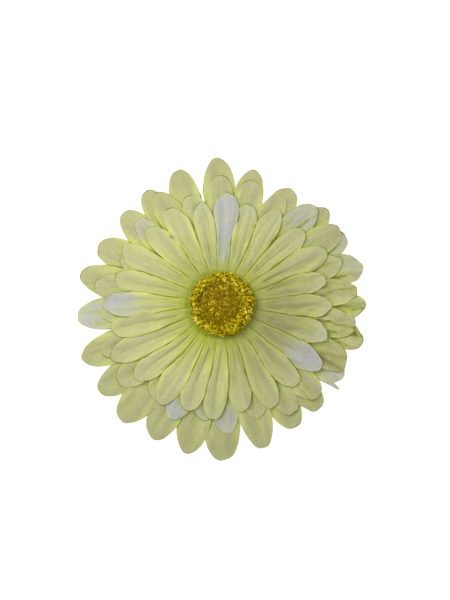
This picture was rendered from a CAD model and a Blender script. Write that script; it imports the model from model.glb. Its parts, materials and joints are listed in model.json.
"""Looks of the flower hair clip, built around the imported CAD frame. Metres, same frame as the CAD.

A fabric gerbera of three petal wheels with a granular centre, on a calyx, glue and felt, over a
sprung steel clip. The petal wheels, the granules, the felt, the glue and the spring are modelled
here; the jaws, the pin, the calyx, the cup, the peg and the washers are the CAD's own shapes.
"""

import json
import math
from dataclasses import dataclass, field

import bmesh
import bpy
import numpy as np
from mathutils import Matrix, Vector, noise
from mathutils.bvhtree import BVHTree


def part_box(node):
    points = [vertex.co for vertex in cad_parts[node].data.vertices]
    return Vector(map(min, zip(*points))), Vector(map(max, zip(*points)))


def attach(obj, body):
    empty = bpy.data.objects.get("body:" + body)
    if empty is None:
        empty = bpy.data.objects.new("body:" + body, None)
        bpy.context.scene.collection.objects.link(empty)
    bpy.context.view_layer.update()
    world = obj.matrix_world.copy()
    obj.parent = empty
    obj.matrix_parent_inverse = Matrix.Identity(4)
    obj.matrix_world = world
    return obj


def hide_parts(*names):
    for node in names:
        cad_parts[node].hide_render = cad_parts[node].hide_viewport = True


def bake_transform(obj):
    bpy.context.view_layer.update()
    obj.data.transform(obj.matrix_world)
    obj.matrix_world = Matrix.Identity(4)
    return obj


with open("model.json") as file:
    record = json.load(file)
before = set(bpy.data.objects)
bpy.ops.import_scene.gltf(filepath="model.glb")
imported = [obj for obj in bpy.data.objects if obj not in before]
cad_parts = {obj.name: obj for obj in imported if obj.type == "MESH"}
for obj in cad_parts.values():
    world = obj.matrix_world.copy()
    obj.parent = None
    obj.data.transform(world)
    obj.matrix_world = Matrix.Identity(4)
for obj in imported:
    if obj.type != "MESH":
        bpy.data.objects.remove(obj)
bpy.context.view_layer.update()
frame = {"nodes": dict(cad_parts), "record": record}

MM = 0.001
ROOT = "flower_and_upper_jaw"
rng = np.random.default_rng(24)


# ------------------------ helpers
def smoothstep(low, high, value):
    """0 up to low, 1 from high on, and smooth between them."""
    t = np.clip((value - low) / (high - low), 0, 1)
    return t * t * (3 - 2 * t)


def bell(value, centre, width):
    """A smooth bump, 1 at its centre and 0.37 at that width from it."""
    return np.exp(-(((value - centre) / width) ** 2))


def srgb(red, green, blue):
    """A colour given as 0-255 sRGB numbers, as the linear numbers that nodes use."""
    def linear(channel):
        c = channel / 255
        return c / 12.92 if c <= 0.04045 else ((c + 0.055) / 1.055) ** 2.4
    return (linear(red), linear(green), linear(blue), 1.0)


def grey(level):
    return (level, level, level, 1)


def linked(name, data):
    """A new object with that data, in the scene."""
    obj = bpy.data.objects.new(name, data)
    bpy.context.scene.collection.objects.link(obj)
    return obj


def mesh_object(name, verts, faces, material):
    mesh = bpy.data.meshes.new(name)
    mesh.from_pydata(np.asarray(verts).tolist(), [], [list(map(int, f)) for f in faces])
    mesh.validate()
    mesh.update()
    mesh.shade_smooth()
    mesh.materials.append(material)
    return linked(name, mesh)


def stand_for(obj, node):
    """Rides a piece on the flower's body in the place of one CAD node."""
    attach(obj, ROOT)
    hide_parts(node)


def rows(*values):
    """The values side by side, one row per point."""
    return np.stack(np.broadcast_arrays(*values), -1).reshape(-1, len(values))


def full_turn(steps):
    """Angles spread evenly over a full turn."""
    return np.arange(steps) * 2 * math.pi / steps


def around(angle, radius, z):
    """Points about the Z axis, at those angles from +X and that radius and height."""
    return rows(radius * np.cos(angle), radius * np.sin(angle), z)


def grid_quads(index, flip=False):
    """Quads between the neighbours in a grid of point numbers; flip turns them over."""
    quads = rows(index[:-1, :-1], index[1:, :-1], index[1:, 1:], index[:-1, 1:])
    return (quads[:, [0, 3, 2, 1]] if flip else quads).tolist()


def ring_quads(rings, steps, closed=False, flip=True):
    """Quads from each ring of points to the next, and from the last to the first if closed."""
    index = np.arange(rings * steps).reshape(rings, steps)
    return grid_quads(np.pad(index, ((0, int(closed)), (0, 1)), mode="wrap"), flip)


def point_colors(obj, name, values):
    """Stores four numbers per vertex, which the material reads by name."""
    attribute = obj.data.attributes.new(name, "FLOAT_COLOR", "POINT")
    attribute.data.foreach_set("color", np.asarray(values, np.float32).ravel())


def apply_modifiers(obj):
    """Makes what the modifiers show the object's own mesh."""
    bpy.context.view_layer.update()
    evaluated = obj.evaluated_get(bpy.context.evaluated_depsgraph_get())
    mesh = bpy.data.meshes.new_from_object(evaluated)
    obj.modifiers.clear()
    obj.data = mesh


def noise_at(points, scale, seed):
    """Smooth noise in -1..1 at each point, of the given feature size."""
    shift = Vector((seed * 7.3, seed * 3.1, seed * 5.7))
    return np.array([noise.noise(Vector(p) / scale + shift) for p in points])


# ------------------------ materials
class Nodes:
    """The nodes of a material or world, and short ways to add to them."""

    def __init__(self, owner, shader="Principled BSDF"):
        owner.use_nodes = True
        self.owner = owner
        self.tree = owner.node_tree
        self.shader = self.tree.nodes[shader]
        self.coordinates = self.add("TexCoord").outputs
        self.where = self.coordinates["Object"]

    def add(self, kind, inputs=None, **settings):
        """Adds a shader node of that kind, with its inputs and settings by name."""
        node = self.tree.nodes.new("ShaderNode" + kind)
        for key, value in settings.items():
            setattr(node, key, value)
        for key, value in (inputs or {}).items():
            self.feed(node.inputs[key], value)
        return node

    def feed(self, socket, value):
        if isinstance(value, bpy.types.NodeSocket):
            self.tree.links.new(value, socket)
        else:
            socket.default_value = value

    def surface(self, values):
        """Sets the shader's inputs by name, and returns the finished material or world."""
        for key, value in values.items():
            self.feed(self.shader.inputs[key], value)
        return self.owner

    def math(self, operation, a, b=0.0, c=0.0, clamp=False):
        return self.add("Math", {0: a, 1: b, 2: c}, operation=operation, use_clamp=clamp).outputs[0]

    def scaled(self, value, factor, offset=0.0):
        return self.math("MULTIPLY_ADD", value, factor, offset)

    def mix(self, factor, a, b, blend="MIX"):
        """A mix of two colours, whose sockets are 6 and 7 of this node."""
        return self.add("Mix", {0: factor, 6: a, 7: b}, data_type="RGBA", blend_type=blend).outputs[2]

    def ramp(self, factor, stops):
        """A colour ramp through (position, colour) stops; a plain number stands for a grey."""
        node = self.add("ValToRGB", {0: factor})
        elements = node.color_ramp.elements
        while len(elements) < len(stops):
            elements.new(0.5)
        for element, (position, color) in zip(elements, stops):
            element.position = position
            element.color = color if isinstance(color, tuple) else grey(color)
        return node.outputs[0]

    def noise(self, scale, detail=3.0, roughness=0.5, distortion=0.0, vector=None):
        return self.add("TexNoise", {
            "Vector": vector or self.where, "Scale": scale, "Detail": detail,
            "Roughness": roughness, "Distortion": distortion,
        }).outputs["Fac"]

    def weave(self, pitch, angle):
        """Height of a plain weave with that thread pitch, turned by that many degrees, 0 to 1."""
        turn = (0.0, 0.0, math.radians(angle))
        turned = self.add("Mapping", {"Vector": self.where, "Rotation": turn})
        split = self.add("SeparateXYZ", {0: turned.outputs["Vector"]})
        rate = math.pi / pitch
        along = self.math("SINE", self.scaled(split.outputs["X"], rate))
        across = self.math("SINE", self.scaled(split.outputs["Y"], rate))
        return self.scaled(self.scaled(along, across), 0.5, 0.5)

    def bump(self, height, strength, distance, normal=None):
        """Small relief of that height, over any relief in the given normal."""
        inputs = {"Height": height, "Strength": strength, "Distance": distance}
        if normal is not None:
            inputs["Normal"] = normal
        return self.add("Bump", inputs).outputs["Normal"]

    def attribute(self, name):
        """The four numbers per vertex that point_colors has stored."""
        node = self.add("Attribute", attribute_name=name)
        parts = self.add("SeparateColor", {0: node.outputs["Color"]})
        return (*parts.outputs[:3], node.outputs["Alpha"])


# The dye at each radius, given as a share of RADIUS_UNIT, on open cloth and on sheltered cloth.
RADIUS_UNIT = 0.06
OPEN_DYE = (
    (0.00, srgb(140, 158, 22)),
    (0.184, srgb(158, 171, 28)),
    (0.205, srgb(190, 198, 63)),
    (0.23, srgb(185, 192, 76)),
    (0.30, srgb(202, 206, 118)),
    (0.38, srgb(210, 212, 144)),
    (0.48, srgb(209, 209, 157)),
    (0.56, srgb(203, 203, 156)),
    (0.68, srgb(191, 190, 148)),
    (0.84, srgb(178, 177, 138)),
)
SHELTERED_DYE = (
    (0.00, srgb(140, 158, 22)),
    (0.24, srgb(188, 198, 60)),
    (0.40, srgb(220, 227, 110)),
    (0.60, srgb(216, 223, 122)),
    (0.84, srgb(194, 200, 112)),
)
FOLD_DYE = srgb(186, 194, 104)
TONE_DYE = srgb(188, 192, 130)
SOIL = srgb(152, 150, 106)
THREAD_PITCH = 0.42 * MM


def dye_color(nodes, radius, across, streaks, open_sky):
    """Lime by the centre, beside the petals' edges and in sheltered places, greyer elsewhere."""
    exposed = nodes.ramp(radius, OPEN_DYE)
    sheltered = nodes.ramp(radius, SHELTERED_DYE)
    patchy = nodes.math("ADD", nodes.scaled(nodes.noise(150, detail=4), 0.5),
                        nodes.scaled(streaks, 1.1))
    normal = nodes.add("NewGeometry").outputs["True Normal"]
    facing = nodes.add("SeparateXYZ", {0: normal}).outputs["Z"]
    underside = nodes.scaled(nodes.math("LESS_THAN", facing, 0.0), 0.9)
    sky = nodes.scaled(nodes.math("MAXIMUM", open_sky, underside), 1.5, -1.2)
    dyed = nodes.mix(nodes.math("ADD", patchy, sky, clamp=True), sheltered, exposed)
    side = nodes.math("ABSOLUTE", nodes.scaled(across, 2.0, -1.0))
    band = nodes.ramp(nodes.math("ADD", side, nodes.scaled(streaks, 0.4)),
                      [(0.7, 0), (1.0, 0.52)])
    return nodes.mix(band, dyed, sheltered)


def petal_cloth(name, weave_angle):
    """Woven cloth, dyed and pressed, with soiled, veined and undyed parts and dark cut edges."""
    nodes = Nodes(bpy.data.materials.new(name))
    radius, across, white, tone = nodes.attribute("petal")
    fold, edge, shade, open_sky = nodes.attribute("press")
    along = nodes.add("CombineXYZ", {0: nodes.scaled(radius, 9.0), 1: nodes.scaled(across, 9.0),
                                     2: nodes.scaled(tone, 40.0)})
    streaks = nodes.noise(1.0, detail=5, roughness=0.62, vector=along.outputs[0])
    color = dye_color(nodes, radius, across, streaks, open_sky)
    color = nodes.mix(nodes.scaled(fold, 0.45), color, FOLD_DYE)
    color = nodes.mix(nodes.scaled(tone, 0.3), color, TONE_DYE)
    color = nodes.mix(shade, color, SOIL)
    undyed = nodes.ramp(nodes.noise(110, detail=3), [
        (0.32, srgb(183, 184, 195)),
        (0.52, srgb(190, 190, 186)),
        (0.72, srgb(192, 196, 162)),
    ])
    color = nodes.mix(white, color, undyed)
    near_centre = nodes.ramp(radius, [(0.24, 1), (0.45, 0.25)])
    veins = nodes.ramp(streaks, [(0.36, (0.82, 0.84, 0.74, 1)), (0.5, 1),
                                 (0.64, (1.12, 1.11, 1.14, 1))])
    color = nodes.mix(near_centre, color, nodes.mix(1.0, color, veins, "MULTIPLY"))
    weave = nodes.weave(THREAD_PITCH, weave_angle)
    thread = nodes.ramp(weave, [(0.0, (0.94, 0.94, 0.92, 1)), (0.7, 1)])
    mottle = nodes.ramp(nodes.noise(950, detail=3, roughness=0.65),
                        [(0.33, (0.93, 0.93, 0.9, 1)), (0.5, 1), (0.68, (1.04, 1.04, 1.03, 1))])
    cut = nodes.ramp(edge, [(0.2, 1), (0.5, (1.09, 1.1, 0.92, 1)),
                            (0.62, (1.0, 1.0, 0.82, 1)), (0.82, (0.4, 0.42, 0.2, 1))])
    for layer in (thread, mottle, cut):
        color = nodes.mix(1.0, color, layer, "MULTIPLY")
    furrows = nodes.bump(streaks, 0.5, 0.35 * MM)
    fuzz = nodes.bump(nodes.noise(2600, detail=2), 0.25, 0.05 * MM, furrows)
    return nodes.surface({
        "Base Color": color,
        "Roughness": 0.82,
        "Normal": nodes.bump(weave, 0.45, 0.07 * MM, fuzz),
        "Sheen Weight": 0.12,
        "Sheen Roughness": 0.45,
        "Specular IOR Level": 0.15,
        "Subsurface Weight": 0.22,
        "Subsurface Radius": (1.0, 1.0, 0.55),
        "Subsurface Scale": 0.8 * MM,
    })


def granules(name, dark, middle, bright):
    """Dyed crumbs: each has its own tone, darker towards its foot, with small specks."""
    nodes = Nodes(bpy.data.materials.new(name))
    tone, height, _, _ = nodes.attribute("grain")
    specked = nodes.scaled(nodes.noise(1500, detail=3), 0.45, -0.2)
    total = nodes.scaled(tone, 0.9, specked)
    color = nodes.ramp(total, [(0.1, dark), (0.4, middle), (0.72, middle), (0.92, bright)])
    deep = nodes.ramp(height, [(0.0, (0.5, 0.47, 0.3, 1)), (0.8, 1)])
    return nodes.surface({
        "Base Color": nodes.mix(1.0, color, deep, "MULTIPLY"),
        "Roughness": 0.6,
        "Normal": nodes.bump(nodes.noise(4200, detail=3), 0.6, 0.1 * MM),
        "Specular IOR Level": 0.07,
    })


def felt(name):
    """Pale green felt: tangled fibres with a soft sheen."""
    nodes = Nodes(bpy.data.materials.new(name))
    fibres = nodes.noise(900, detail=6, roughness=0.7, distortion=1.2)
    color = nodes.ramp(fibres, [
        (0.3, srgb(176, 184, 140)),
        (0.5, srgb(205, 210, 172)),
        (0.75, srgb(226, 229, 200)),
    ])
    tangled = nodes.bump(nodes.noise(2400, detail=5, distortion=2.0), 0.9, 0.16 * MM)
    return nodes.surface({
        "Base Color": color,
        "Roughness": 0.95,
        "Normal": nodes.bump(fibres, 0.6, 0.3 * MM, tangled),
        "Sheen Weight": 0.5,
        "Sheen Roughness": 0.6,
        "Specular IOR Level": 0.1,
    })


def moulded_plastic(name, light, dark, roughness):
    """Plastic with faint flow marks and uneven polish."""
    nodes = Nodes(bpy.data.materials.new(name))
    flow = nodes.noise(160, detail=4, distortion=0.6)
    return nodes.surface({
        "Base Color": nodes.ramp(flow, [(0.35, dark), (0.65, light)]),
        "Roughness": nodes.ramp(nodes.noise(300, detail=3),
                                [(0.3, roughness - 0.08), (0.7, roughness + 0.1)]),
        "Normal": nodes.bump(nodes.noise(1300, detail=4), 0.35, 0.05 * MM),
    })


def hot_glue(name):
    """Cloudy, waxy hot-melt glue."""
    nodes = Nodes(bpy.data.materials.new(name))
    cloud = nodes.noise(220, detail=5, distortion=0.8)
    return nodes.surface({
        "Base Color": nodes.ramp(cloud, [(0.3, srgb(214, 208, 178)), (0.7, srgb(236, 233, 214))]),
        "Roughness": 0.28,
        "Normal": nodes.bump(nodes.noise(420, detail=4), 0.5, 0.15 * MM),
        "Subsurface Weight": 0.35,
        "Subsurface Radius": (0.002, 0.0016, 0.001),
        "Coat Weight": 0.3,
    })


def plated_steel(name, light, dark, stretch, roughness):
    """Plated metal: drawn lines that run along the axis of least stretch, scuffs, dull patches."""
    nodes = Nodes(bpy.data.materials.new(name))
    mapped = nodes.add("Mapping", {"Vector": nodes.where, "Scale": stretch})
    lines = nodes.noise(900, detail=4, vector=mapped.outputs["Vector"])
    scuffs = nodes.noise(420, detail=6, roughness=0.7)
    patches = nodes.ramp(nodes.noise(140, detail=3), [(0.4, 0), (0.7, 1)])
    scraped = nodes.ramp(scuffs, [(0.6, 0), (0.78, 0.6)])
    color = nodes.mix(scraped, nodes.mix(patches, light, dark), srgb(150, 144, 132))
    drawn = nodes.ramp(lines, [(0.35, (0.72, 0.72, 0.73, 1)), (0.6, 1)])
    pits = nodes.bump(scuffs, 0.25, 0.05 * MM)
    return nodes.surface({
        "Base Color": nodes.mix(1.0, color, drawn, "MULTIPLY"),
        "Metallic": 1.0,
        "Roughness": nodes.mix(lines, grey(roughness - 0.1), grey(roughness + 0.12)),
        "Normal": nodes.bump(lines, 0.3, 0.03 * MM, pits),
    })


def floor_white(name):
    """Plain white table, lit a little from within so that it stays white; clear from below."""
    nodes = Nodes(bpy.data.materials.new(name))
    behind = nodes.add("NewGeometry").outputs["Backfacing"]
    clear = nodes.add("BsdfTransparent").outputs[0]
    either = nodes.add("MixShader", {0: behind, 1: nodes.shader.outputs[0], 2: clear})
    nodes.feed(nodes.tree.nodes["Material Output"].inputs["Surface"], either.outputs[0])
    return nodes.surface({
        "Base Color": grey(0.3),
        "Roughness": 0.9,
        "Specular IOR Level": 0.0,
        "Emission Color": grey(1),
        "Emission Strength": 0.88,
    })


# ------------------------ petal wheels
PETALS = 24
PITCH = math.radians(360 / PETALS)
CLOTH = 0.26 * MM
CAD_CLOTH = 0.4 * MM
WHEEL_BORE = 2.7 * MM
ROOT_CREASE = 0.45 * MM
EDGE_WIDTH = 1.0 * MM
SHELTER_REACH = 7 * MM
LAID_GAP = 0.06 * MM
MOST_SETTLED = 1.4 * MM
EASING_ROUNDS = 6
ABOVE_ALL = 0.1
COLUMNS = 24
ROWS = 40
HUB_ROWS = 14
# Turns clockwise from +Y, as for the petals below.
SOILED_SIDE = math.radians(110)
CRUSHED_SIDE = 98
CRUSHED_SPREAD = 36
CREASES = 3

# One petal per entry, clockwise from +Y seen from above: (degrees, reach in mm).
TOP_PETALS = (
    (2.5, 38.9), (15.5, 36.1), (30.5, 38.5), (48, 38.2), (62.5, 41), (76, 36.8),
    (91, 38.2), (106.5, 38.2), (122.5, 41), (137.5, 38.2), (153, 40.2), (168.5, 37.8),
    (184.5, 40.2), (198.5, 38.9), (212.5, 41), (229, 39.7), (244, 43), (257, 39.4),
    (270, 41.3), (284, 38.5), (299, 39.9), (316, 36.8), (331, 38.2), (347.5, 36.1),
)
MIDDLE_PETALS = (
    (-1, 45.1), (14, 44.5), (28.5, 43.4), (43, 47.2), (57, 48.6), (70, 44.1),
    (84, 47.5), (99.5, 46.8), (115.5, 47.9), (134, 46.5), (147, 45.5), (162, 41.6),
    (178.5, 45.1), (190, 41), (203.5, 43.6), (217, 40.6), (232.5, 45.6), (248, 45.1),
    (266, 42), (279, 45), (294, 38.9), (314.5, 41.6), (330, 45.1), (344, 39.6),
)
BOTTOM_PETALS = (
    (-1.5, 51.3), (13.5, 48.1), (31, 46.9), (47.5, 49.4), (61, 49.2), (74, 50.6),
    (90.5, 49.9), (104.5, 50.6), (120.5, 48.7), (136.5, 49.9), (148.5, 50.2), (163.5, 52.3),
    (180, 54.7), (193.5, 53.7), (207.5, 53), (221, 53.9), (234, 52.8), (248.5, 52.7),
    (265.5, 50.9), (281.5, 50.6), (296, 47.8), (312, 47.1), (326, 47.6), (341, 49.4),
)
# Undyed petals: petal number to (share of the reach where white starts, how white).
TOP_WHITE = {0: (0.42, 0.85), 1: (0.9, 0.3), 7: (0.88, 0.35), 8: (0.7, 0.95), 18: (0.76, 0.85),
             23: (0.9, 0.3)}
MIDDLE_WHITE = {3: (0.84, 0.85), 12: (0.86, 0.9), 13: (0.92, 0.4), 14: (0.86, 0.9),
                18: (0.9, 0.2), 21: (0.92, 0.6)}
BOTTOM_WHITE = {4: (0.88, 0.7), 5: (0.9, 0.5), 8: (0.9, 0.9), 18: (0.86, 0.95)}

# Sharp folds: petal number to (place at the root, place at the tip, height in mm, dullness).
MIDDLE_FOLDS = {3: ((-0.5, 0.45, 0.9, 0.1),), 6: ((0.3, -0.4, 1.2, 0.1),),
                7: ((-0.4, 0.0, 1.8, 0.2), (0.7, 0.35, 1.2, 0.1)),
                8: ((-0.3, 0.3, 1.5, 0.3), (0.6, -0.5, 1.1, 0.25)), 9: ((-0.5, 0.4, 1.3, 0.1),)}
BOTTOM_FOLDS = {5: ((-0.2, 0.4, 1.2, 0.1),), 6: ((0.4, -0.3, 1.2, 0.1),),
                7: ((0.0, 0.5, 1.4, 0.1),), 8: ((-0.4, 0.2, 1.2, 0.1),),
                9: ((-0.3, 0.4, 1.3, 0.1),)}
# Petals with a cup-like curl: petal number to (share of the reach, place across, size in mm).
MIDDLE_CURLS = {5: (0.84, 0.1, 4.2)}
# A torn corner that sticks out: petal number to (place across, half-width, length in mm).
BOTTOM_SPIKES = {8: (0.87, 0.2, 6.6)}

# Radius of each wheel's joined middle, where the cuts between the petals end.
TOP_HUB = 14.5 * MM
MIDDLE_HUB = 19 * MM
BOTTOM_HUB = 22 * MM

# Height of each wheel above its hub, in mm, at radii in mm.
TOP_DISH = ((0, 0), (11, 0), (18, 0.9), (26, 0.8), (34, -0.5), (44, -3.0))
MIDDLE_DISH = ((0, 0), (11, 0), (18, 0.6), (28, 0.4), (38, -1.4), (50, -4.1))
BOTTOM_DISH = ((0, 0), (11, 0), (20, 0.4), (32, -0.1), (44, -1.8), (56, -4.6))


def dish_height(dish, radius):
    """The dish's height at each radius, smoothed over a few millimetres."""
    radii, heights = zip(*dish)
    samples = [np.interp(radius / MM + step, radii, heights) for step in np.linspace(-3.5, 3.5, 9)]
    return np.mean(samples, axis=0) * MM


def edge_order(count):
    """For each cut between two petals, how far the next petal's edge lies above (+) or below."""
    sizes = rng.uniform(0.32, 0.75, count)
    return sizes * np.where(rng.random(count) < 0.68, 1, -1) * MM


def soiled(turn, radius):
    """How grubby the cloth is, from 0 to 1: most on one side, towards the centre."""
    side = np.exp(2.2 * (np.cos(turn - SOILED_SIDE) - 1))
    near = 0.3 + 0.7 * smoothstep(10.8 * MM, 13.3 * MM, radius)
    return 0.64 * side * near * (1 - smoothstep(18 * MM, 40 * MM, radius))


@dataclass(eq=False)
class Wheel:
    """One die-cut wheel: a flat hub and petals that overlap a little, pressed, folded and bent."""

    name: str
    hub_z: float
    hub_radius: float
    petals: tuple
    white: dict
    dish: tuple
    lower: object
    droop: float
    folds: dict = field(default_factory=dict)
    curls: dict = field(default_factory=dict)
    spikes: dict = field(default_factory=dict)

    def __post_init__(self):
        self.verts, self.faces, self.petal, self.press = [], [], [], []
        self.flat_reach = 0.0
        self.order = edge_order(PETALS)
        self.tones = rng.random(PETALS)
        self.hub()
        for k in range(PETALS):
            self.one_petal(k)
        self.tree = BVHTree.FromPolygons(self.verts, self.faces)

    def add_points(self, places, petal, press):
        """Adds points, with the numbers that the material reads of each."""
        self.verts += rows(*places).tolist()
        self.petal += rows(*petal).tolist()
        self.press += rows(*press, 1).tolist()

    def columns(self):
        """Place across a petal, -1 to 1, a little denser towards the edges."""
        t = np.linspace(-1, 1, COLUMNS + 1)
        return 0.55 * t + 0.45 * np.sin(0.5 * math.pi * t)

    def root_angle(self, k):
        """Where the petal leaves the hub: the cuts are even, and the petals lean off them."""
        return k * PITCH + math.radians(self.petals[0][0]) * 0.5

    def hub(self):
        """The joined middle: rings of points, creased between the petals."""
        across = np.concatenate([self.columns()[:-1] for _ in range(PETALS)])
        centre = np.repeat([self.root_angle(k) for k in range(PETALS)], COLUMNS)
        angle = centre + across * PITCH / 2
        tones = np.repeat(self.tones, COLUMNS)
        limed = 0.33 * np.maximum(0, -np.sin(angle))
        pale = 0.2 * np.maximum(0, np.cos(angle)) ** 3
        uneven = 0.74 + 0.16 * np.cos(angle - math.radians(30)) + 0.1 * np.sin(31 * angle)
        for radius in np.linspace(WHEEL_BORE, self.hub_radius, HUB_ROWS):
            share = radius / self.hub_radius
            crease = ROOT_CREASE * smoothstep(0.45, 1, share)
            z = self.hub_z + dish_height(self.dish, radius) - crease * np.abs(across) ** 5
            drawn = smoothstep(0.6, 0.95, share) * uneven
            cut = drawn * np.clip((np.abs(across) - 0.87) / 0.08, 0, 1)
            outer = smoothstep(0.75, 1, share)
            dye_radius = radius * (1 - limed * (1 - outer)) / RADIUS_UNIT
            self.add_points((radius * np.sin(angle), radius * np.cos(angle), z),
                            (dye_radius, 0.5 + 0.5 * across, pale * outer, tones),
                            (0.25 * np.abs(across) ** 6, cut, soiled(angle, radius)))
        self.faces += ring_quads(HUB_ROWS, COLUMNS * PETALS, flip=False)

    def one_petal(self, k):
        """One petal: its outline, relief, crumpling and rest, and the colours of its cloth."""
        degrees, reach_mm = self.petals[k]
        hub = self.hub_radius
        reach = reach_mm * MM
        v = self.columns()[None, :]
        share = 1 - (1 - np.linspace(0, 1, ROWS + 1)[:, None]) ** 1.3
        shoulder = rng.uniform(0.74, 0.79) * reach
        lopsided = rng.uniform(-0.12, 0.12)
        skewed = v + lopsided * (1 - v**2)
        roundness = rng.uniform(1.9, 2.6)
        tip = shoulder + (reach - shoulder) * (1 - np.abs(skewed) ** roundness) ** (1 / 1.9)
        tip = tip + 0.16 * MM * np.sin(rng.uniform(5, 8) * v + rng.uniform(0, 6)) * (1 - v**4)
        if k in self.spikes:
            place, width, length = self.spikes[k]
            tip = tip + length * MM * np.clip(1 - np.abs(v - place) / width, 0, 1)
        r = hub + (tip - hub) * share
        free = smoothstep(hub, 0.62 * reach, r)
        lean = math.radians(degrees) - self.root_angle(k)
        lean = (lean + math.pi) % (2 * math.pi) - math.pi
        angle = self.root_angle(k) + lean * smoothstep(hub, 0.8 * reach, r)
        slit = 0.05 * MM * smoothstep(0, 0.06, share)
        half = np.minimum(r, shoulder) * math.tan(PITCH / 2) * (1 + 0.13 * free) - slit
        half = half * (1 + 0.035 * free * np.sin(rng.uniform(6, 10) * share + rng.uniform(0, 6)))
        x = v * half
        u = (r - hub) / (reach - hub)
        z, fold, shade, drawn = self.relief(k, degrees, r, u, v, free)
        px = r * np.sin(angle) + x * np.cos(angle)
        py = r * np.cos(angle) - x * np.sin(angle)
        px, py, z = self.crumple(k, degrees, px, py, z, free)
        z = self.rest_on_lower(px, py, z)
        spine = np.stack([px, py, z], -1)[:, COLUMNS // 2]
        length = float(np.linalg.norm(np.diff(spine, axis=0), axis=1).sum())
        self.flat_reach = max(self.flat_reach, hub + length)
        inside = np.minimum((1 - np.abs(v)) * half, tip - r)
        uneven = 0.14 * np.sin(7 * u + 2 * k + 3 * v) + 0.07 * np.sin(31 * u + 5 * v + k)
        edge = (1 - inside / EDGE_WIDTH) * (1 - 0.14 * smoothstep(0.35, 0.9, u) + uneven)
        edge = np.clip(edge, 0, 1) * (0.84 + 0.16 * smoothstep(0.05, 0.4, u))
        edge = np.maximum(edge, drawn)
        kept_dye = 8 * MM * self.crushed(degrees) * smoothstep(0.5, 0.9, r / reach)
        self.store(k, px, py, z, r, v, edge, fold, shade, reach, r - kept_dye)

    def crushed(self, degrees):
        """How badly a petal has been crushed, 0 to 1: worst on the right and lower right."""
        return float(bell(degrees % 360, CRUSHED_SIDE, CRUSHED_SPREAD)) * self.droop

    def pressed_shape(self, k, r, u, v, free):
        """A petal as it left the press: its height, and where it is folded in or worn."""
        left, right = self.order[(k - 1) % PETALS] / 2, -self.order[k] / 2
        side = np.where(v < 0, left, right) * np.abs(v) ** 2.2
        z = self.hub_z + dish_height(self.dish, r) + side * smoothstep(0, 0.42, u)
        z = z - ROOT_CREASE * np.abs(v) ** 5 * (1 - smoothstep(0, 0.22, u))
        run = smoothstep(0, 0.12, u) * (1 - smoothstep(0.78, 1.0, u))
        place = rng.uniform(-0.34, 0.34)
        depth = rng.uniform(0.25, 0.68) * MM
        wander = place * (1 - 0.5 * u) + 0.08 * np.sin(5 * u + k)
        valley = bell(v, wander, rng.uniform(0.2, 0.34))
        ridge = bell(v, wander + 0.42 * (1 if place < 0 else -1), 0.3)
        z = z - depth * valley * run + 0.5 * depth * ridge * run
        lines = sum(bell(v, at * (1 - 0.25 * u), 0.06) for at in (-0.5, 0.0, 0.5))
        pressed = lines * smoothstep(0, 0.1, u) * (1 - smoothstep(0.6, 0.92, u))
        z = z - 0.2 * MM * pressed
        width = 1.5 * v * r * math.tan(PITCH / 2)
        folds = noise_at(rows(0.3 * r, width, 0.01 * k), 2.4 * MM, 150 + k).reshape(z.shape)
        z = z + 0.34 * MM * folds * run
        bend = rng.uniform(-0.5, 1.0) * self.droop * MM
        z = z - bend * smoothstep(0.6, 1.05, u) ** 2
        lift = rng.uniform(-0.25, 0.35) * MM
        z = z + lift * free * smoothstep(0.2, 0.6, u)
        fold = np.clip(0.5 * pressed + 0.8 * valley * run - 0.6 * ridge * run, 0, 1)
        return z, fold, 0.25 * ridge * run + 0.3 * np.clip(folds, 0, 1) * run

    def relief(self, k, degrees, r, u, v, free):
        """One petal's height, and how folded, soiled and lined with creases its cloth is."""
        z, fold, worn = self.pressed_shape(k, r, u, v, free)
        crushed = self.crushed(degrees)
        shade = np.zeros_like(z)
        drawn = np.zeros_like(z)
        for _ in range(CREASES):
            at = rng.uniform(-0.6, 0.6)
            slope = rng.uniform(-1.6, 1.6)
            apart = np.abs(v - at - slope * (u - 0.75))
            crease = np.clip(1 - apart / 0.34, 0, 1) ** 1.5 * smoothstep(0.35, 0.6, u)
            sharp = rng.uniform(0.4, 0.9) * crushed
            z = z - sharp * MM * crease
            shade = shade + 0.08 * sharp * crease
            line = bell(apart, 0, 0.08) * smoothstep(0.4, 0.6, u)
            drawn = np.maximum(drawn, 0.78 * sharp * line)
        for root, end, height, dullness in self.folds.get(k, ()):
            beside = v - root - (end - root) * u
            risen = np.where(beside < 0, np.exp(beside / 0.3), np.clip(1 - beside / 0.16, 0, 1))
            along = smoothstep(0.3, 0.6, u)
            z = z + height * MM * risen * along
            shadow = bell(beside, 0.16, 0.13) + 0.6 * smoothstep(0.55, 0.75, u)
            shade = shade + dullness * shadow * along
            drawn = np.maximum(drawn, 0.74 * bell(beside, 0.16, 0.07) * along)
            drawn = np.maximum(drawn, 0.5 * bell(beside, -0.04, 0.1) * along)
        if k in self.curls:
            share, place, size = self.curls[k]
            apart = np.hypot(u - share, (v - place) * 0.22) * (float(np.max(r)) / (size * MM))
            z = z + 0.5 * MM * np.cos(2.2 * math.pi * apart) * np.exp(-(apart**2))
        z = z + 1.5 * MM * crushed * smoothstep(0.5, 1.0, u) ** 2
        curl = rng.uniform(0.2, 1.3) * crushed * MM
        z = z + curl * smoothstep(0.55, 1.0, np.maximum(np.abs(v), u)) * free
        dull = shade + soiled(math.radians(degrees), r) + worn
        return z, fold, np.clip(dull, 0, 1), drawn

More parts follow.
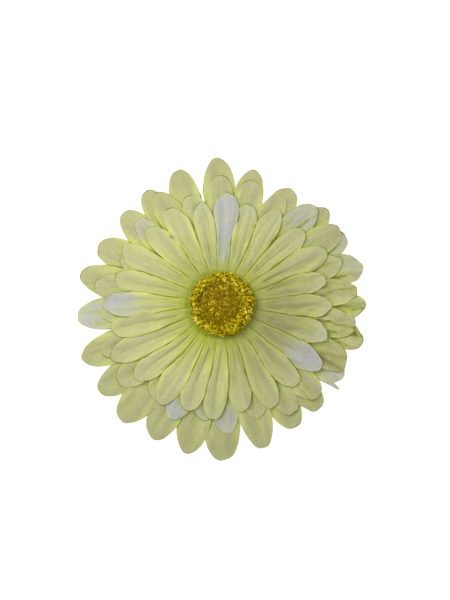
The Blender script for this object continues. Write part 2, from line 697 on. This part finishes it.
    def crumple(self, k, degrees, px, py, z, free):
        """Gentle waves in a petal's height and edges, strong where it has been crushed."""
        amount = (0.18 + 0.62 * self.crushed(degrees)) * MM
        points = rows(px, py, 0.01 * k)
        wave, small, sway = (amount * free * noise_at(points, size * MM, k + seed).reshape(z.shape)
                             for size, seed in ((6.5, 1), (2.6, 40), (9, 80)))
        return px + sway, py + small, z + 1.5 * wave + 0.5 * small

    def rest_on_lower(self, px, py, z):
        """Lets a petal down onto the wheel below, and lifts what would sink into it."""
        if self.lower is None:
            return z
        gap = np.full_like(z, np.inf)
        down = Vector((0, 0, -1))
        for index in np.ndindex(z.shape):
            hit = self.lower.tree.ray_cast(Vector((px[index], py[index], ABOVE_ALL)), down)[0]
            if hit is not None:
                gap[index] = z[index] - hit.z - CLOTH - LAID_GAP
        nearest = np.minimum.reduce(gap, axis=1)
        nearest = np.clip(np.where(np.isfinite(nearest), nearest, 0.0), 0, MOST_SETTLED)
        nearest = np.convolve(np.pad(nearest, 4, mode="edge"), np.full(9, 1 / 9), mode="valid")
        settle = 0.85 * nearest * smoothstep(0.3, 0.75, np.linspace(0, 1, len(nearest)))
        z, gap = z - settle[:, None], gap - settle[:, None]
        need = np.clip(-gap, 0, None)
        eased = need.copy()
        for _ in range(EASING_ROUNDS):
            padded = np.pad(eased, 1, mode="edge")
            near = (padded[:-2, 1:-1] + padded[2:, 1:-1] + padded[1:-1, :-2] + padded[1:-1, 2:]) / 4
            eased = np.maximum(need, near)
        eased[0] = np.minimum(eased[0], need[0])
        return z + eased

    def store(self, k, px, py, z, r, v, edge, fold, shade, reach, dye_radius):
        """Adds one petal's points and faces; its first row is the hub's last."""
        ring = COLUMNS * PETALS
        root = (HUB_ROWS - 1) * ring + (k * COLUMNS + np.arange(COLUMNS + 1)) % ring
        index = len(self.verts) + np.arange(px[1:].size).reshape(ROWS, -1)
        self.faces += grid_quads(np.concatenate([[root], index]))
        white_from, whiteness = self.white.get(k, (2.0, 0.0))
        rough = 0.05 * np.sin(9 * v + 3 * k) + 0.03 * np.sin(23 * v)
        white = whiteness * smoothstep(white_from - 0.12, white_from + 0.1, r / reach + rough)
        pale = 0.2 * max(0.0, math.cos(self.root_angle(k))) ** 3
        white = np.maximum(white * (1 - 0.35 * v**4),
                           pale * (1 - smoothstep(0.4, 0.7, r / reach)))
        self.add_points((px[1:], py[1:], z[1:]),
                        (dye_radius[1:] / RADIUS_UNIT, 0.5 + 0.5 * v, white[1:], self.tones[k]),
                        (fold[1:], edge[1:], shade[1:]))

    def flat_area(self):
        """Area of one side of the cloth, which pressing and creasing leave as it was cut."""
        corners = np.array(self.verts)[np.array(self.faces)]
        across, along = corners[:, 2] - corners[:, 0], corners[:, 3] - corners[:, 1]
        return float(0.5 * np.linalg.norm(np.cross(across, along), axis=1).sum())

    def make_object(self, material):
        """The wheel as a piece with the cloth's thickness."""
        obj = mesh_object(self.name, self.verts, self.faces, material)
        point_colors(obj, "petal", self.petal)
        point_colors(obj, "press", self.press)
        solid = obj.modifiers.new("cloth", "SOLIDIFY")
        solid.thickness = CLOTH
        solid.offset = 0
        apply_modifiers(obj)
        obj.data.set_sharp_from_angle(angle=math.radians(55))
        return obj


def sky_directions():
    """Directions spread evenly over the upper half of a sphere."""
    directions = []
    for height, count in ((0.2, 6), (0.5, 6), (0.85, 3)):
        turns = full_turn(count) + 2 * math.pi * height / count
        directions += map(Vector, around(turns, math.sqrt(1 - height**2), height))
    return directions


def measure_shelter(wheels):
    """Stores how much open sky each point of the petals has, so that the dye can follow it."""
    verts, faces = [], []
    for wheel in wheels:
        faces += (np.array(wheel.faces) + len(verts)).tolist()
        verts += wheel.verts
    everything = BVHTree.FromPolygons(verts, faces)
    directions = sky_directions()
    for wheel in wheels:
        for place, press in zip(wheel.verts, wheel.press):
            start = Vector(place) + Vector((0, 0, 0.25 * MM))
            hits = [everything.ray_cast(start, way, SHELTER_REACH)[0] for way in directions]
            press[3] = hits.count(None) / len(directions)


def make_petal_wheels():
    """The three wheels, from the bottom up, each resting on the one below."""
    spacer_low, middle_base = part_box("lower_spacer")
    top_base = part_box("upper_spacer")[1]
    half = CAD_CLOTH / 2
    bottom = Wheel("petal_wheel_bottom", spacer_low.z - half, BOTTOM_HUB, BOTTOM_PETALS,
                   BOTTOM_WHITE, BOTTOM_DISH, None, droop=1.2, folds=BOTTOM_FOLDS,
                   spikes=BOTTOM_SPIKES)
    middle = Wheel("petal_wheel_middle", middle_base.z + half, MIDDLE_HUB, MIDDLE_PETALS,
                   MIDDLE_WHITE, MIDDLE_DISH, bottom, droop=1.1, folds=MIDDLE_FOLDS,
                   curls=MIDDLE_CURLS)
    top = Wheel("petal_wheel_top", top_base.z + half, TOP_HUB, TOP_PETALS,
                TOP_WHITE, TOP_DISH, middle, droop=0.6)
    measure_shelter((bottom, middle, top))
    stack = (
        (bottom, "petal_layer_bottom", "calyx", 12),
        (middle, "petal_layer_middle", bottom.name, 47),
        (top, "petal_layer_top", middle.name, 78),
    )
    for wheel, node, under, weave_angle in stack:
        obj = wheel.make_object(petal_cloth(f"{wheel.name}_cloth", weave_angle))
        stand_for(obj, node)
        wheel.flat_area()


# ------------------------ granular centre
def grain_shape():
    """A small rounded crumb of unit size: its points and its faces."""
    ball = bmesh.new()
    bmesh.ops.create_icosphere(ball, subdivisions=2, radius=1)
    points = np.array([v.co for v in ball.verts])
    faces = np.array([[v.index for v in f.verts] for f in ball.faces])
    ball.free()
    return points, faces


def scatter_grains(places, outward, sizes, stretch, cleanness):
    """Crumbs at the places, each turned, stretched and dented at random, in clusters of a tone."""
    shape, faces = grain_shape()
    outward = np.broadcast_to(outward, places.shape)
    clusters = 0.45 * noise_at(places, 1.6 * MM, 12)
    verts, all_faces, colors = [], [], []
    for i, (place, out, size) in enumerate(zip(places, outward, sizes)):
        spin = rng.uniform(0, 2 * math.pi)
        turn = Matrix.Rotation(spin, 3, Vector(rng.normal(size=3)).normalized())
        scale = size * np.array([rng.uniform(1, stretch), rng.uniform(0.6, 1), rng.uniform(0.6, 1)])
        dents = 1 + 0.3 * np.sin(shape @ rng.normal(scale=3.2, size=(3, 3))).mean(1)
        crumb = (shape * dents[:, None] * scale) @ np.array(turn).T + place
        tone = np.clip(rng.random() + clusters[i], 0, 1)
        level = cleanness[i] * np.clip(0.5 + 0.5 * ((crumb - place) @ out) / size, 0, 1)
        all_faces.append(faces + len(shape) * i)
        verts.append(crumb)
        colors.append(rows(tone, level, 0, 1))
    return np.concatenate(verts), np.concatenate(all_faces), np.concatenate(colors)


RING_CRUMBS = 1500
SPILT_CRUMBS = 120
CORE_CRUMBS = 1000
POLLEN_STEPS = 96
CRUMB_DEPTH = 0.3 * MM


def crater_edge(turn):
    """The ring's uneven inner edge: an oval that sits a little off centre, towards -X."""
    x, y = 6.7 * MM * np.cos(turn) - 0.8 * MM, 7.2 * MM * np.sin(turn) - 0.1 * MM
    return np.hypot(x, y)


def ring_point(turn, lift):
    """A point at that lift on the ring's rounded section, a crumb's depth below its skin."""
    high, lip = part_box("pollen_ring")[1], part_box("centre_cup")[1].z
    outer = high.x - 0.2 * MM + 0.2 * MM * np.sin(5 * turn + 1) + 0.12 * MM * np.sin(11 * turn)
    inner = crater_edge(turn)
    middle, half = 0.5 * (inner + outer), 0.5 * (outer - inner) - CRUMB_DEPTH
    swell = 1 + 0.1 * np.sin(3 * turn + 1) + 0.06 * np.sin(7 * turn)
    rise = (high.z - lip - 0.6 * MM - CRUMB_DEPTH) * swell
    return around(turn, middle + half * np.cos(lift), lip + 0.3 * MM + np.sin(lift) * rise)


def core_point(turn, share):
    """A point on the button's crown, at that share of the way out to the ring."""
    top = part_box("pollen_core")[1].z
    crown, shoulder = top - 0.5 * MM, top - 1.5 * MM
    dip = 0.25 * MM * np.sin(2 * turn + 9 * share)
    z = shoulder + (crown - shoulder) * np.sqrt(np.clip(1 - share**2, 0, 1)) + dip * share
    return around(turn, (crater_edge(turn) + 0.3 * MM) * share, z)


def granular_piece(name, node, slot, rings, grain, flip, crumbs, colors):
    """Crumbs bonded to a body of rings of points, in the place of one CAD node."""
    verts, faces, tones = crumbs
    body = np.concatenate(rings)
    quads = np.array(ring_quads(len(rings), POLLEN_STEPS, flip=flip)) + len(verts)
    piece = mesh_object(name, np.concatenate([verts, body]), [*faces, *quads],
                        granules(slot, *colors))
    point_colors(piece, "grain", np.concatenate([tones, np.tile(grain, (len(body), 1))]))
    stand_for(piece, node)


def make_pollen_ring():
    """The rough yellow ring, with crumbs that have spilt onto the button inside it."""
    turns = full_turn(POLLEN_STEPS)
    arc = np.linspace(math.radians(-30), math.radians(200), 18)
    rings = [ring_point(turns, lift) for lift in arc]
    low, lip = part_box("pollen_ring")[0].z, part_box("centre_cup")[1].z
    foot = rings[-1] * [1, 1, 0] + [0, 0, low + 0.3 * MM]
    rim = rings[0] * [0.93, 0.93, 0] + [0, 0, lip + 0.05 * MM]
    turn = rng.uniform(0, 2 * math.pi, RING_CRUMBS)
    lift = rng.uniform(math.radians(-35), math.radians(195), RING_CRUMBS)
    spilt_turn = rng.uniform(0, 2 * math.pi, SPILT_CRUMBS)
    spilt = core_point(spilt_turn, 1 - 0.7 * rng.random(SPILT_CRUMBS) ** 3.2)
    places = np.concatenate([ring_point(turn, lift), spilt + [0, 0, 0.15 * MM]])
    outward = np.concatenate([around(turn, np.cos(lift), np.sin(lift)),
                              np.tile([0.0, 0.0, 1.0], (SPILT_CRUMBS, 1))])
    sizes = np.concatenate([rng.uniform(0.22, 0.52, RING_CRUMBS),
                            rng.uniform(0.14, 0.34, SPILT_CRUMBS)]) * MM
    cleanness = np.concatenate([smoothstep(-0.5, 0.5, lift), np.ones(SPILT_CRUMBS)])
    crumbs = scatter_grains(places, outward, sizes, 1.7, cleanness)
    colors = srgb(128, 114, 3), srgb(188, 167, 4), srgb(243, 226, 84)
    granular_piece("pollen_ring_granules", "pollen_ring", "pollen_yellow",
                   [foot, rim, *rings, foot], [0.2, 0, 0, 1], True, crumbs, colors)


def make_pollen_core():
    """The brown-gold button that sits low inside the ring."""
    turns = full_turn(POLLEN_STEPS)
    rings = [core_point(turns, share) for share in np.sin(np.linspace(0.02, math.pi / 2, 14))]
    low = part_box("pollen_core")[0].z
    foot = rings[-1] * [0.98, 0.98, 0] + [0, 0, low + 0.1 * MM]
    turn = rng.uniform(0, 2 * math.pi, CORE_CRUMBS)
    places = core_point(turn, np.sqrt(rng.random(CORE_CRUMBS)) * 0.99)
    sizes = rng.uniform(0.12, 0.34, CORE_CRUMBS) * MM
    crumbs = scatter_grains(places, (0.0, 0.0, 1.0), sizes, 1.5, np.ones(CORE_CRUMBS))
    colors = srgb(112, 86, 0), srgb(150, 124, 1), srgb(232, 202, 66)
    granular_piece("pollen_core_granules", "pollen_core", "pollen_brown",
                   [*rings, foot], [0.5, 0.8, 0, 1], False, crumbs, colors)


# ------------------------ felt and glue
RIM_HAIRS = 900
FACE_HAIRS = 1100
STRIP_HAIRS = 500
STRIP_THICKNESS = 0.76 * MM
# Points of a hair: three at the root, three halfway, and the tip.
HAIR_FACES = ((0, 1, 4, 3), (3, 4, 6), (1, 2, 5, 4), (4, 5, 6), (2, 0, 3, 5), (5, 3, 6), (2, 1, 0))
# Hairs grow only clear of the steel: beside the upper jaw, or beyond its front end.
JAW_SIDE = 5.4 * MM
JAW_FRONT = 13.5 * MM
STRIP_SIDE = 4.0 * MM


def revolved(profile, steps):
    """Points and faces of a closed profile of (radius, z) turned about Z."""
    verts = np.concatenate([around(full_turn(steps), *point) for point in profile])
    return verts, ring_quads(len(profile), steps, closed=True)


def felt_fibres(name, roots, outward, material):
    """Short loose hairs that stand off the felt: thin bent three-sided spikes."""
    verts, faces = [], []
    for root, out in zip(roots, np.broadcast_to(outward, roots.shape)):
        length = rng.uniform(0.35, 0.9) * MM
        lean = Vector(rng.normal(size=3)) * 0.7 + Vector(out)
        way = lean.normalized()
        side = way.orthogonal().normalized() * 0.025 * MM
        other = way.cross(side) * 0.87
        corners = (side, other - side * 0.5, -other - side * 0.5)
        middle = Vector(root) + way * length * 0.55
        bent = (way + Vector(rng.normal(size=3)) * 0.45).normalized()
        faces += [[len(verts) + i for i in face] for face in HAIR_FACES]
        verts += [Vector(root) - way * 0.15 * MM + corner for corner in corners]
        verts += [middle + corner * 0.7 for corner in corners]
        verts.append(middle + bent * length * 0.45)
    fuzz = mesh_object(name, verts, faces, material)
    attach(fuzz, ROOT)


def make_felt_disc(material):
    """The round backing, with a rounded, slightly ragged rim and loose fibres."""
    low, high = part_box("felt_backing")
    radius, thick = high.x, high.z - low.z
    face_radius = radius - 0.35 * thick

    def rim_point(lift):
        """Radius and height on the rounded rim, at that angle above its middle."""
        return face_radius + 0.35 * thick * np.cos(lift), low.z + 0.5 * thick * (1 + np.sin(lift))

    rim = [rim_point(lift) for lift in np.linspace(-math.pi / 2, math.pi / 2, 7)]
    flat = np.linspace(0.02, 0.96, 14) * face_radius
    profile = [(r, low.z) for r in flat] + rim + [(r, high.z) for r in flat[::-1]]
    verts, faces = revolved(profile, 160)
    out = np.linalg.norm(verts[:, :2], axis=1)
    near_rim = smoothstep(0.9 * radius, radius, out)
    ragged = (0.16 * noise_at(verts, 1.3 * MM, 5) - 0.05) * MM * near_rim
    verts[:, :2] *= (1 + ragged / np.maximum(out, MM))[:, None]
    disc = mesh_object("felt_disc", verts, faces, material)
    stand_for(disc, "felt_backing")
    turn = rng.uniform(0, 2 * math.pi, RIM_HAIRS)
    lift = rng.uniform(-1.2, 1.2, RIM_HAIRS)
    reach, height = rim_point(lift)
    on_rim = around(turn, reach - 0.1 * MM, height)
    outward = around(turn, np.cos(lift), np.sin(lift))
    turn = rng.uniform(0, 2 * math.pi, FACE_HAIRS)
    spread = np.sqrt(rng.uniform(0.16, 0.96, FACE_HAIRS)) * radius
    roots = np.concatenate([on_rim, around(turn, spread, low.z)])
    outward = np.concatenate([outward, np.tile([0.0, 0.0, -0.5], (FACE_HAIRS, 1))])
    clear = (np.abs(roots[:, 1]) > JAW_SIDE) | (roots[:, 0] > JAW_FRONT)
    felt_fibres("felt_disc_fuzz", roots[clear], outward[clear], material)


def make_felt_strip(material):
    """A strip that crosses under the jaw's plate and is glued up against the disc beside it."""
    low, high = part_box("felt_patch")
    jaw_low, jaw_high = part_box("upper_jaw")
    half_jaw = 0.5 * (jaw_high.y - jaw_low.y)
    x, y = np.meshgrid(np.linspace(low.x, high.x, 29), np.linspace(low.y, high.y, 61))
    step = smoothstep(half_jaw + 0.1 * MM, half_jaw + 1.9 * MM, np.abs(y))
    under = low.z + 0.02 * MM + (high.z - low.z - 0.8 * MM) * step
    corner = 2.2 * MM
    centre_x, half_x = 0.5 * (low.x + high.x), 0.5 * (high.x - low.x)
    over_x = np.clip(np.abs(x - centre_x) - (half_x - corner), 0, None)
    inset = corner - np.sqrt(np.clip(corner**2 - over_x**2, 0, None))
    limit = high.y - inset
    y = np.clip(y, -limit, limit)
    wavy = noise_at(rows(x, y, under), 2.2 * MM, 9).reshape(x.shape)
    x = x + 0.12 * MM * wavy * smoothstep(0.8, 1, np.abs(x - centre_x) / half_x)
    bottom = rows(x, y, under + 0.04 * MM * wavy)
    verts = np.concatenate([bottom, bottom + [0, 0, STRIP_THICKNESS]])
    index = np.arange(x.size).reshape(x.shape)
    rim = np.concatenate([index[0], index[1:, -1], index[-1, -2::-1], index[-2:0:-1, 0]])
    onward = np.roll(rim, -1)
    faces = grid_quads(index) + grid_quads(index + x.size, flip=True)
    faces += rows(rim, onward, onward + x.size, rim + x.size).tolist()
    strip = mesh_object("felt_strip", verts, faces, material)
    strip.data.set_sharp_from_angle(angle=math.radians(50))
    stand_for(strip, "felt_patch")
    picked = bottom[rng.integers(0, len(bottom), STRIP_HAIRS)]
    aside_x = rng.uniform(-0.2, 0.2, STRIP_HAIRS)
    aside_y = rng.uniform(-0.2, 0.2, STRIP_HAIRS)
    roots = picked + rows(aside_x, aside_y, 0.05) * MM
    beside = np.abs(roots[:, 1]) > STRIP_SIDE
    felt_fibres("felt_strip_fuzz", roots[beside], (0.0, 0.0, -0.4), material)


def make_glue():
    """Hot glue between felt and calyx: a squeezed-out bead with lobes round the calyx's foot."""
    low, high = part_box("glue_pad")
    foot = 8.5 * MM
    radius = high.x
    roll = 0.75 * MM
    bead = [(0.3 * MM, low.z), (0.7 * radius, low.z), (radius - 0.5 * MM, low.z)]
    bead += [(radius - roll + roll * math.cos(a), low.z + 0.05 * MM + roll * math.sin(a))
             for a in np.linspace(0, 0.8 * math.pi, 9)]
    bead += [(foot + 1.5 * MM, high.z + 0.1 * MM), (foot + 0.4 * MM, high.z + 0.35 * MM),
             (foot - 0.1 * MM, high.z - 0.02 * MM), (0.3 * MM, high.z - 0.02 * MM)]
    verts, faces = revolved(bead, 144)
    turn = np.arctan2(verts[:, 1], verts[:, 0])
    out = np.linalg.norm(verts[:, :2], axis=1)
    lobes = 0.5 * np.sin(3 * turn + 1) + 0.4 * np.sin(5 * turn + 2.2) + 0.35 * np.sin(8 * turn)
    swell = smoothstep(foot, radius, out)
    verts[:, :2] *= (1 + 0.5 * MM * (lobes - 0.6) * swell / np.maximum(out, MM))[:, None]
    rise = 0.2 * MM * noise_at(verts, 2.6 * MM, 3) + 0.12 * MM * lobes
    verts[:, 2] += rise * smoothstep(0.2, 0.8, (verts[:, 2] - low.z) / (high.z - low.z)) * swell
    glue = mesh_object("glue_bead", verts, faces, hot_glue("hot_glue"))
    stand_for(glue, "glue_pad")


# ------------------------ torsion spring
WIRE_R = 0.4 * MM
COIL_R = 1.9 * MM
COIL_PITCH = 0.92 * MM
UPPER_LEG_TILT = 12.5
LOWER_LEG_TILT = 3.2
COIL_TURNS = 4.5 - (UPPER_LEG_TILT + LOWER_LEG_TILT) / 360
SPRING_LEG = 8.5 * MM


def wire_tube(path, radius, sides=12):
    """A round wire along a path of points, closed at both ends."""
    path = np.asarray(path)
    tangents = np.gradient(path, axis=0)
    tangents /= np.linalg.norm(tangents, axis=1)[:, None]
    across = np.tile([0.0, 1.0, 0.0], (len(path), 1))
    across -= np.sum(across * tangents, 1)[:, None] * tangents
    across /= np.linalg.norm(across, axis=1)[:, None]
    other = np.cross(tangents, across)
    turns = full_turn(sides)
    verts = np.concatenate([
        p + radius * (np.cos(turns)[:, None] * a + np.sin(turns)[:, None] * b)
        for p, a, b in zip(path, across, other)
    ])
    faces = ring_quads(len(path), sides)
    faces.append(tuple(range(sides))[::-1])
    faces.append(tuple((len(path) - 1) * sides + i for i in range(sides)))
    return verts, faces


def make_spring():
    """The wire spring round the pin: a coil whose legs leave it along the two jaws."""
    hinge = np.array(frame["record"]["behaviour"]["joints"][0]["pos_m"])
    tilt = math.radians(LOWER_LEG_TILT)
    start = np.array([math.sin(tilt), 0, -math.cos(tilt)])
    onward = np.array([math.cos(tilt), 0, math.sin(tilt)])
    length = COIL_TURNS * COIL_PITCH
    turn = np.linspace(0, 2 * math.pi * COIL_TURNS, 260)[:, None]
    rise = (turn / (2 * math.pi) * COIL_PITCH - 0.5 * length) * np.array([0, 1, 0])
    coil = hinge + COIL_R * (np.cos(turn) * start + np.sin(turn) * onward) + rise
    first = coil[0] - coil[1]
    last = coil[-1] - coil[-2]
    reach = np.linspace(1, 0.02, 24)[:, None] * SPRING_LEG
    lower_leg = coil[0] + reach * first / np.linalg.norm(first)
    upper_leg = coil[-1] + reach[::-1] * last / np.linalg.norm(last)
    path = np.concatenate([lower_leg, coil, upper_leg])
    verts, faces = wire_tube(path, WIRE_R)
    steel = plated_steel("spring_steel", srgb(140, 140, 142), srgb(106, 106, 108), (1, 1, 1), 0.28)
    spring = mesh_object("spring_wire", verts, faces, steel)
    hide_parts("torsion_spring")
    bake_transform(spring)


# ------------------------ carried-over CAD nodes
def finish_cad_nodes():
    """Materials for the pieces that keep their CAD shape."""
    nickel = plated_steel("jaw_nickel", srgb(172, 172, 175), srgb(124, 124, 127), (0.08, 1, 1), 0.24)
    pin = plated_steel("pin_steel", srgb(156, 155, 154), srgb(126, 125, 124), (1, 0.1, 1), 0.32)
    green = moulded_plastic("calyx_green", srgb(92, 132, 48), srgb(70, 108, 34), 0.42)
    cup = moulded_plastic("cup_plastic", srgb(150, 152, 40), srgb(126, 128, 28), 0.5)
    natural = moulded_plastic("peg_plastic", srgb(226, 228, 212), srgb(206, 210, 190), 0.45)
    finishes = {
        "upper_jaw": nickel, "lower_jaw": nickel, "hinge_pin": pin, "calyx": green,
        "centre_cup": cup, "centre_peg": natural, "peg_retainer": natural,
        "upper_spacer": natural, "lower_spacer": natural,
    }
    for node, material in finishes.items():
        obj = frame["nodes"][node]
        obj.data.materials.clear()
        obj.data.materials.append(material)


# ------------------------ stage, light and camera
FLOOR_DROP = 17 * MM
FLOOR_RADIUS = 2.5
SKY_LEVELS = ((0.0, 0.88), (0.3, 0.64), (0.7, 0.56), (1.0, 0.53))
KEY_PLACE = (-0.16, 0.122, 0.32)
KEY_SIZE = 0.2
KEY_POWER = 0.74
KEY_COLOR = (0.995, 1.0, 0.985)
CAMERA_PLACE = (1.0 * MM, 1.5 * MM, 0.60)
PETAL_HEIGHT = 0.018
VIEW_HEIGHT = 0.2082


def make_stage():
    """A plain white floor below the opened jaw's reach, in pale surroundings."""
    bpy.ops.mesh.primitive_circle_add(vertices=64, radius=FLOOR_RADIUS, fill_type="NGON",
                                      location=(0, 0, -FLOOR_DROP))
    floor = bpy.context.object
    floor.name = "floor"
    floor.data.materials.append(floor_white("floor_white"))
    bpy.context.scene.world = studio_world()
    bpy.context.scene.view_settings.view_transform = "Standard"


def studio_world():
    """Pale surroundings: bright at eye level and below, dimmer overhead."""
    nodes = Nodes(bpy.data.worlds.new("studio"), "Background")
    split = nodes.add("SeparateXYZ", {0: nodes.coordinates["Generated"]})
    return nodes.surface({"Color": nodes.ramp(split.outputs["Z"], SKY_LEVELS)})


def make_light():
    """One soft square light, high up to the left and a little behind the flower."""
    data = bpy.data.lights.new("key", "AREA")
    data.shape = "SQUARE"
    data.size = KEY_SIZE
    data.energy = KEY_POWER
    data.color = KEY_COLOR
    light = linked("key", data)
    light.location = KEY_PLACE
    aim = Vector((0, 0, 0.01)) - Vector(KEY_PLACE)
    light.rotation_euler = aim.to_track_quat("-Z", "Y").to_euler()


def make_camera():
    """Looks straight down, with the view's height measured at the upper petals."""
    data = bpy.data.cameras.new("camera")
    data.lens = data.sensor_width * (CAMERA_PLACE[2] - PETAL_HEIGHT) / VIEW_HEIGHT
    camera = linked("camera", data)
    camera.location = CAMERA_PLACE
    bpy.context.scene.camera = camera


make_stage()
make_light()
make_camera()
make_petal_wheels()
make_pollen_ring()
make_pollen_core()
felt_material = felt("felt")
make_felt_disc(felt_material)
make_felt_strip(felt_material)
make_glue()
make_spring()
finish_cad_nodes()
